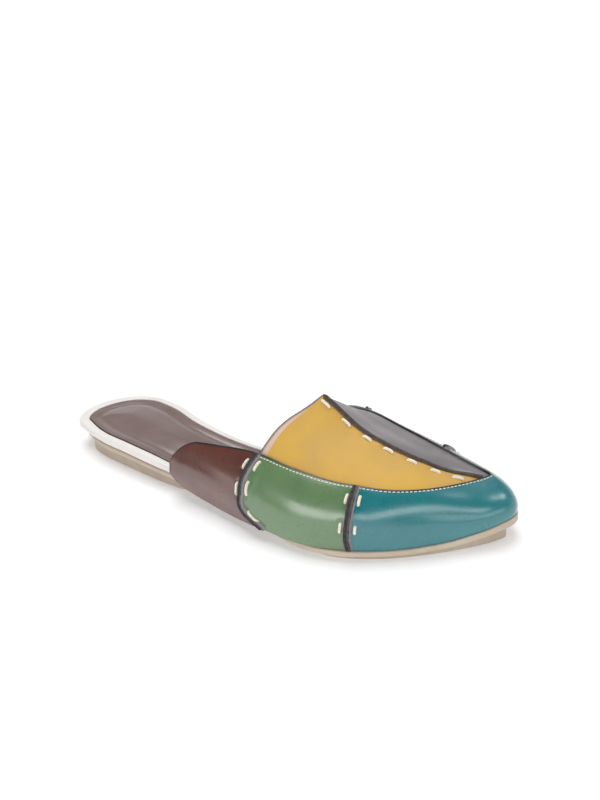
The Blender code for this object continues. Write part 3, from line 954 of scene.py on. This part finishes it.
def make_apron(name, side, material, low, high, end=1.0):
    """Leather of half of the apron, between two limits across it that change along it."""
    u = np.concatenate([THROAT_STEPS[:-1], np.linspace(THROAT_STEPS[-1], 1.0, APRON_COLUMNS)])
    first, last = low(u * end)[:, None], high(u * end)[:, None]
    across = first + (last - first) * np.linspace(0.0, 1.0, APRON_ROWS)
    start = np.interp(across, (0.0, 1.0), THROAT_SET_BACK)
    along = start + (end - start) * u[:, None]
    points, out = apron_frame(side, along, across)
    near = step_lengths(points)
    points = points - out * apron_dents(side, points)[..., None]
    leather_sheet(name, points, out, near, 0.0, 0.0, material)


def lining_columns(side):
    """Columns of the lining: up the quarter, then up the strip and over the apron."""
    corner = share_at(side, THROAT_CORNER[side])
    back = quarter_share(side)
    levels = np.linspace(0, 1, LINING_LEVELS)
    quarter = back + (corner - back) * np.linspace(0, 1, LINING_QUARTER)[:-1, None] ** LINING_CROWD
    along = np.linspace(0, 1, LINING_ALONG)[:, None]
    shares, reached = APRON[side]
    strip = side_points(side, np.interp(along, reached, shares), levels)
    apron = apron_points(side, along, levels[1:])
    return [*side_points(side, quarter, levels), *np.concatenate([strip, apron], axis=1)]


def make_lining():
    """Inner layer of the upper: it shows inside, and as a narrow rim at the throat."""
    bm, (edge,) = new_mesh("edge")
    for side in SECTIONS:
        verts = [[bm.verts.new(p) for p in column] for column in lining_columns(side)]
        for here, ahead in zip(verts, verts[1:]):
            for k in range(min(len(here), len(ahead)) - 1):
                corners = (here[k], ahead[k], ahead[k + 1], here[k + 1])
                bm.faces.new(corners if side == "lateral" else corners[::-1])
    bmesh.ops.remove_doubles(bm, verts=bm.verts, dist=LINING_MERGE)
    bm.normal_update()
    rim = [e for e in bm.edges if e.is_boundary]
    front = list(bm.verts)
    faces = list(bm.faces)
    back = {vert: bm.verts.new(vert.co - vert.normal * WALL) for vert in front}
    for face in faces:
        bm.faces.new([back[v] for v in reversed(face.verts)])
    for e in rim:
        a, b = e.verts
        bm.faces.new((a, b, back[b], back[a]))
        for vert in (a, b):
            vert[edge] = 1.0
            back[vert][edge] = 1.0
    for vert in front:
        vert.co -= vert.normal * LINING_TOP
    add_piece("lining", bm, LINING, ("upper",))


def make_flange(name, points, across, out, section, material, node):
    """Two raised leather edges side by side along a path."""
    width, height, dyed = np.array(section).T
    bm, (dark, far) = new_mesh("dark", "far")
    length = step_lengths(points)
    end = np.minimum(end_round(length, FLANGE_END), end_round(length[-1] - length, FLANGE_END))
    swell = (FLANGE_END_SIZE + (1 - FLANGE_END_SIZE) * end)[:, None, None]
    face = points[:, None] + swell * (across[:, None] * width[:, None] + out[:, None] * height[:, None])
    close_tube(bm, grid_verts(bm, face, (dark, dyed), (far, width > 0)))
    add_piece(name, bm, material, (node,))


def make_side_flange(node):
    """Flange of a seam across the strip."""
    level = np.linspace(0.0, FLANGE_TOP, FLANGE_STEPS + 1)
    points, out = strip_frame(seam_run(node, level), level)
    surface = points + out * LAP_STEP
    across = unit(np.cross(np.gradient(surface, axis=0), out))
    if SIDE_SEAMS[node][0] == "medial":
        across = -across
    make_flange(node + "_flange", surface, across, out, FLANGE, SIDE_FLANGE, node)


def make_ridge_flange():
    """Flange along the seam of the apron's two leathers, as far as the strip's edge."""
    back = np.linspace(1, 0, FLANGE_STEPS + 1) ** RIDGE_CROWD
    along = APRON_SEAM_END - (APRON_SEAM_END - RIDGE_SEAM_START) * back
    points = apron_points("lateral", along, apron_seam(along))
    out = unit(sum(apron_frame(side, along, NEAR_RIDGE)[1] for side in SECTIONS))
    ahead = unit(np.gradient(points, axis=0))
    out = unit(out - ahead * np.sum(out * ahead, axis=-1, keepdims=True))
    across = -unit(np.cross(ahead, out))
    make_flange("seam_center_flange", points, across, out, RIDGE_FLANGE, CENTER_FLANGE, "seam_center")


def add_stitch(bm, path, out, rise, sink, radius, sides):
    """Stitch as a tube that comes out of the leather, lies on it and goes in again."""
    dip = np.abs(np.linspace(-1, 1, len(path))) ** STITCH_BEND
    points = path + out * (rise - (rise + sink) * dip)[:, None]
    ahead = unit(np.gradient(points, axis=0))
    across = unit(np.cross(ahead, out))
    over = np.cross(across, ahead)
    length = step_lengths(points)
    size = radius * end_round(np.minimum(length, length[-1] - length) + TUBE_TIP, radius)
    turn = np.linspace(0, 2 * np.pi, sides, endpoint=False)
    ring = across[:, None] * np.cos(turn)[:, None] + over[:, None] * np.sin(turn)[:, None]
    close_tube(bm, grid_verts(bm, points[:, None] + ring * size[:, None, None]))


def make_hand_stitches():
    """Cream hand stitches on both sides of the seams and beside the centre ridge."""
    bm = bmesh.new()
    for path, out in side_stitches(STITCH_STEPS) + ridge_stitches(STITCH_STEPS):
        add_stitch(bm, path, out, STITCH_RISE, PUCKER_DEPTH + STITCH_RADIUS, STITCH_RADIUS, STITCH_SIDES)
    add_piece("hand_stitches", bm, THREAD, ())


def vectors_at(lengths, reached, vectors):
    """Vectors given along a path, at some lengths of it."""
    return np.stack([np.interp(lengths, reached, column) for column in vectors.T], axis=-1)


def make_machine_stitches():
    """Fine stitches on the strip under its top edge, in a row on each side of the apron."""
    bm = bmesh.new()
    for side, stop in MACHINE_STOP.items():
        throat = run_at(side, share_at(side, THROAT_CORNER[side]))
        run = np.linspace(throat, stop, MACHINE_SAMPLES)
        points, out = strip_frame(run, 1 - MACHINE_DROP[side] / STRIP_HEIGHT)
        reached = step_lengths(points)
        for start in np.arange(MACHINE_START, reached[-1] - MACHINE_PITCH, MACHINE_PITCH):
            at = np.linspace(start, start + MACHINE_LENGTH, MACHINE_STEPS)
            normal = unit(vectors_at(at, reached, out))
            path = vectors_at(at, reached, points) + normal * LAP_STEP
            add_stitch(bm, path, normal, MACHINE_RISE, MACHINE_RADIUS, MACHINE_RADIUS, MACHINE_SIDES)
    add_piece("machine_stitches", bm, THREAD, ())


# Sole

def moved_edge(side, out):
    """Footbed edge of one side, moved outward by out, which may depend on x."""
    x, y, nx, ny = EDGE[side]["rows"].T
    step = out(x) if callable(out) else out
    return x + nx * step, y + ny * step


def spread(count):
    """Shares from 0 to 1, closer together at both ends."""
    return (1 - np.cos(np.linspace(0, np.pi, count + 1))) / 2


def edges_at(x, out):
    """Lateral and medial y of the footbed plan moved outward by out."""
    return [np.interp(x, *moved_edge(side, out)) for side in SECTIONS]


def plan_ring(out, stations=SOLE_STATIONS):
    """Stations along the footbed plan moved outward by out: x, lateral y, medial y."""
    back, front = moved_edge("lateral", out)[0][[0, -1]]
    x = back + spread(stations) * (front - back)
    return x, *edges_at(x, out)


def block_ring(back, front, out, rounding, lean=0.5):
    """Stations of a block under the sole, with rounded ends: x, lateral y, medial y.

    lean is the lateral edge's share of the front rounding.
    """
    x = back + spread(BLOCK_STATIONS) * (front - back)
    outer, inner = edges_at(x, out)
    width = inner - outer
    rear = (1 - end_round(x - back, rounding[0])) / 2
    fore = 1 - end_round(front - x, rounding[1])
    return x, outer + width * (rear + fore * lean), inner - width * (rear + fore * (1 - lean))


def loop_points(ring, height):
    """Closed loop of a ring: heel end, lateral side, toe end, medial side back."""
    x, outer, inner = ring
    z = height(x) if callable(height) else np.full_like(x, height)
    there = np.column_stack([x, outer, z])
    back = np.column_stack([x, inner, z])[-2:0:-1]
    return [*there, *back]


def add_cap(bm, loop):
    """Close a loop with cross strips between its two sides."""
    half = len(loop) // 2
    bm.faces.new((loop[0], loop[1], loop[-1]))
    for i in range(1, half - 1):
        bm.faces.new((loop[i], loop[i + 1], loop[-i - 1], loop[-i]))
    bm.faces.new((loop[half - 1], loop[half], loop[half + 1]))


def stacked_piece(name, rings, material):
    """Closed piece through a stack of (ring, height) loops, which replaces its node."""
    bm = bmesh.new()
    loops = [[bm.verts.new(p) for p in loop_points(*row)] for row in rings]
    for low, high in zip(loops, loops[1:]):
        join_borders(bm, low, high)
    add_cap(bm, loops[0])
    add_cap(bm, loops[-1])
    add_piece(name + "_skin", bm, material, (name,))


def above(height, step):
    """Height function raised by a step."""
    return lambda x: height(x) + step


def rounded_steps(radius, count=4):
    """Inset and drop of a rounded edge, from its side to its face."""
    turn = np.linspace(0, np.pi / 2, count + 1)
    return [(radius * (1 - np.cos(t)), radius * (1 - np.sin(t))) for t in turn]


SIDE_STEPS = rounded_steps(EDGE_ROUND)


def outsole_ring(inset):
    return plan_ring(lambda x: outsole_ledge(x) - inset)


def make_outsole():
    rings = [(outsole_ring(inset), above(outsole_under, drop)) for inset, drop in SIDE_STEPS[::-1]]
    rings += [(outsole_ring(inset), above(outsole_top, -drop)) for inset, drop in SIDE_STEPS]
    stacked_piece("outsole", rings, OUTSOLE)


def lift_ring(inset):
    return block_ring(LIFT_BACK + inset, LIFT_FRONT - inset, -LIFT_INSET - inset, LIFT_ROUND)


def make_heel_lift():
    rings = [(lift_ring(inset), drop) for inset, drop in SIDE_STEPS[::-1]]
    rings += [(lift_ring(inset), above(outsole_under, -GAP - drop)) for inset, drop in SIDE_STEPS]
    stacked_piece("heel_lift", rings, SHADED_RUBBER)


def tread_under(x):
    """Underside of the forefoot tread: flat on the floor, then lifting towards the toe."""
    past = np.clip((x - TREAD_LIFTS_AT) / (TREAD_FRONT - TREAD_LIFTS_AT), 0.0, 1.0)
    return TREAD_TOE_RISE * past ** TREAD_TOE_CURVE


def tread_ring(inset):
    return block_ring(TREAD_BACK + inset, TREAD_FRONT - inset, TREAD_OUTSET - inset, TREAD_ROUND,
                      TREAD_LEAN)


def make_forefoot_tread():
    rings = [(tread_ring(inset), above(tread_under, drop)) for inset, drop in SIDE_STEPS[::-1]]
    rings.append((tread_ring(0.0), above(outsole_under, -GAP)))
    stacked_piece("forefoot_tread", rings, SHADED_RUBBER)


# Footbed: rounds of its rim, and how far up its side is fullest
RIM_ROUND = 1.2
RIM_INNER_ROUND = 0.6
FULLEST = 0.4


def make_footbed():
    """Wrapped footbed: a low tray, undercut at the heel, with a soft rim round the sock."""
    under = above(outsole_top, GAP)
    foot = plan_ring(lambda x: np.minimum(outsole_ledge(x), 0) - EDGE_ROUND)
    rings = [(foot, under), (plan_ring(0.0), lambda x: (1 - FULLEST) * under(x) + FULLEST * footbed_rim(x))]
    for inset, drop in rounded_steps(RIM_ROUND, count=5):
        rings.append((plan_ring(-inset), above(footbed_rim, -drop)))
    for inset, drop in rounded_steps(RIM_INNER_ROUND, count=3)[::-1]:
        rings.append((plan_ring(lambda x: inset - rim_width(x)), above(footbed_rim, -drop)))
    rings.append((plan_ring(lambda x: -rim_width(x)), above(footbed_rim, -SOCK_THICK - GAP)))
    stacked_piece("footbed", rings, WRAP)


# Sock: pressed groove and crowned pad, which fade out between two stations under the upper
SOCK_GROOVE_INSET = 5.5
SOCK_GROOVE_DEPTH = 0.4
SOCK_GROOVE_HALF = 2.0
SOCK_PAD_CROWN = 1.1
SOCK_PAD_RAMP = 10.0
SOCK_FADES = (120.0, 150.0)
# Dark band at the sock's edge: a dyed edge, and painted shade of the gap at the footbed's rim
SOCK_DYED_AND_SHADED_EDGE = (0.1, 0.5)


def make_sock():
    """Leather sock in the footbed's tray, with a pressed border round a softly crowned pad."""
    x, outer, inner = np.array(plan_ring(lambda x: -rim_width(x) - GAP, SOCK_STATIONS))[..., None]
    plan = np.dstack(np.broadcast_arrays(x, outer + (inner - outer) * spread(SOCK_ACROSS)))
    inset = nearest(plan, plan[:, [0, -1]])
    past = inset - SOCK_GROOVE_INSET
    groove = SOCK_GROOVE_DEPTH * np.exp(-((past / SOCK_GROOVE_HALF) ** 2))
    crown = SOCK_PAD_CROWN * (1 - np.exp(-((np.maximum(past, 0) / SOCK_PAD_RAMP) ** 2)))
    rim = footbed_rim(plan[..., 0])
    z = rim - rounded_drop(inset, EDGE_ROUND) + (crown - groove) * fade(plan[..., 0], *SOCK_FADES)
    bm, (edge,) = new_mesh("edge")
    # Painted shade with the dyed edge: a dark band at the sock's edge
    top = grid_verts(bm, np.dstack([plan, z]), (edge, fade(inset, *SOCK_DYED_AND_SHADED_EDGE)))
    low = grid_verts(bm, np.dstack([plan, rim - SOCK_THICK]), (edge, 1.0))
    close_sheet(bm, top, low)
    bmesh.ops.remove_doubles(bm, verts=bm.verts, dist=SOCK_MERGE)
    add_piece("sock_leather", bm, SOCK, ("sock",))


# Studio: the floor's glow near the shoe and away from it, and where in millimetres it changes
WHITE = (1.0, 1.0, 1.0, 1.0)
FLOOR_COLOUR = (0.78, 0.78, 0.78, 1.0)
FLOOR_HALF = 60.0
FLOOR_GLOW = (0.25, 0.33)
FLOOR_GLOW_REACH = (400.0, 1300.0)


def make_floor():
    """Plain pale floor that glows a little more away from the shoe, as a white sweep does."""
    material, tree, shader = base_material("floor_white")
    far = add_node(tree, "VectorMath", {0: shoe_space(tree)}, operation="LENGTH").outputs["Value"]
    feed(tree, shader, {
        "Base Color": FLOOR_COLOUR,
        "Roughness": 0.9,
        "Specular IOR Level": 0.1,
        "Emission Color": WHITE,
        "Emission Strength": remap(tree, far, FLOOR_GLOW_REACH, FLOOR_GLOW),
    })
    mesh = bpy.data.meshes.new("floor")
    corners = [(-1, -1), (1, -1), (1, 1), (-1, 1)]
    mesh.from_pydata([(a * FLOOR_HALF, b * FLOOR_HALF, 0.0) for a, b in corners], [], [(0, 1, 2, 3)])
    mesh.materials.append(material)
    floor = add_object("floor", mesh)


# Light of the surround: sine of the elevation or front-to-back direction, and brightness
SURROUND_HEIGHT = ((0.0, 1.0), (0.03, 1.0), (0.26, 0.9), (0.42, 0.44), (0.8, 0.23), (1.0, 0.2))
SURROUND_DEPTH = ((-1.0, 0.18), (-0.3, 0.18), (0.3, 0.9), (1.0, 1.0))


def light_curve(tree, value, rows):
    """Brightness that follows a value through a short table."""
    node = add_node(tree, "FloatCurve", {"Value": value})
    curve = node.mapping.curves[0]
    node.mapping.clip_min_x = -1.0
    for place, light in rows[1:-1]:
        curve.points.new(place, light)
    for point, row in zip(curve.points, rows):
        point.location = row
        point.handle_type = "VECTOR"
    node.mapping.update()
    return node.outputs["Value"]


def make_world():
    """White surround, bright near the floor and behind the shoe, darker overhead and in front."""
    world = bpy.data.worlds.new("studio")
    bpy.context.scene.world = world
    world.use_nodes = True
    tree = world.node_tree
    direction = add_node(tree, "TexCoord", {}).outputs["Generated"]
    split = add_node(tree, "SeparateXYZ", {"Vector": direction})
    high = light_curve(tree, split.outputs["Z"], SURROUND_HEIGHT)
    deep = light_curve(tree, split.outputs["Y"], SURROUND_DEPTH)
    feed(tree, tree.nodes["Background"], {"Color": WHITE, "Strength": multiply(tree, high, deep)})


LIGHT_AIM = Vector((0.06, 0.0, 0.02))
SUN_TOWARD = Vector((-0.25, 0.28, 0.93))
SUN_ANGLE = 45.0
SUN_STRENGTH = 2.2
SOFTBOXES = {
    # name: place and size in metres, power in watts, roll in degrees
    "strip_left": ((-0.24, -1.13, 0.45), (1.04, 0.36), 4.8, 0.0),
    "strip_right": ((0.963, -1.043, 0.865), (1.60, 0.34), 6.16, 19.0),
    "front_fill": ((0.1, -1.13, 0.14), (1.9, 0.28), 1.2, 0.0),
    "toe_box": ((0.81, 0.33, 1.03), (0.30, 0.25), 1.2, 0.0),
    "toe_low": ((1.15, -0.45, 0.3), (0.7, 0.35), 1.5, 0.0),
}


def add_lamp(name, kind, power, aim, roll=0.0):
    """Light along a direction, rolled in degrees: its object and its data."""
    light = bpy.data.lights.new(name, kind)
    light.energy = power
    lamp = add_object(name, light)
    turn = aim.to_track_quat("-Z", "Y") @ Quaternion((0.0, 0.0, 1.0), np.radians(roll))
    lamp.rotation_euler = turn.to_euler()
    return lamp, light


def make_lights():
    """Wide soft sun from behind and above, and soft boxes round the shoe."""
    lamp, sun = add_lamp("sky_light", "SUN", SUN_STRENGTH, -SUN_TOWARD)
    sun.angle = np.radians(SUN_ANGLE)
    for name, (place, size, power, roll) in SOFTBOXES.items():
        lamp, box = add_lamp(name, "AREA", power, LIGHT_AIM - Vector(place), roll)
        lamp.location = place
        box.shape = "RECTANGLE"
        box.size, box.size_y = size


def make_camera():
    """Camera at the photograph's angle, rolled as it was."""
    turn, height, roll = np.radians([CAMERA_TURN, CAMERA_HEIGHT, CAMERA_ROLL])
    data = bpy.data.cameras.new("camera")
    data.sensor_width = SENSOR
    data.lens = FOCAL_PIXELS * SENSOR / IMAGE_TALL
    data.clip_start = 0.01
    camera = add_object("camera", data)
    camera.matrix_world = (
        Matrix.Translation((CAMERA_AIM - ORIGIN) * MM)
        @ Matrix.Rotation(turn, 4, "Z")
        @ Matrix.Rotation(np.pi / 2 - height, 4, "X")
        @ Matrix.Rotation(-roll, 4, "Z")
        @ Matrix.Translation((0.0, 0.0, CAMERA_REACH * MM))
    )
    bpy.context.scene.camera = camera


make_outsole()
make_heel_lift()
make_forefoot_tread()
make_footbed()
make_sock()
make_lining()
for panel, leather_and_ends in PANELS.items():
    make_panel(panel, *leather_and_ends)
make_apron("apron_lateral", "lateral", YELLOW, np.zeros_like, apron_seam, APRON_SEAM_END)
make_apron("apron_lap", "lateral", GREY, apron_seam, np.ones_like)
make_apron("apron_medial", "medial", GREY, np.zeros_like, np.ones_like)
for seam_node in SIDE_SEAMS:
    make_side_flange(seam_node)
make_ridge_flange()
make_hand_stitches()
make_machine_stitches()
make_floor()
make_world()
make_lights()
make_camera()
bpy.context.scene.view_settings.view_transform = "Standard"
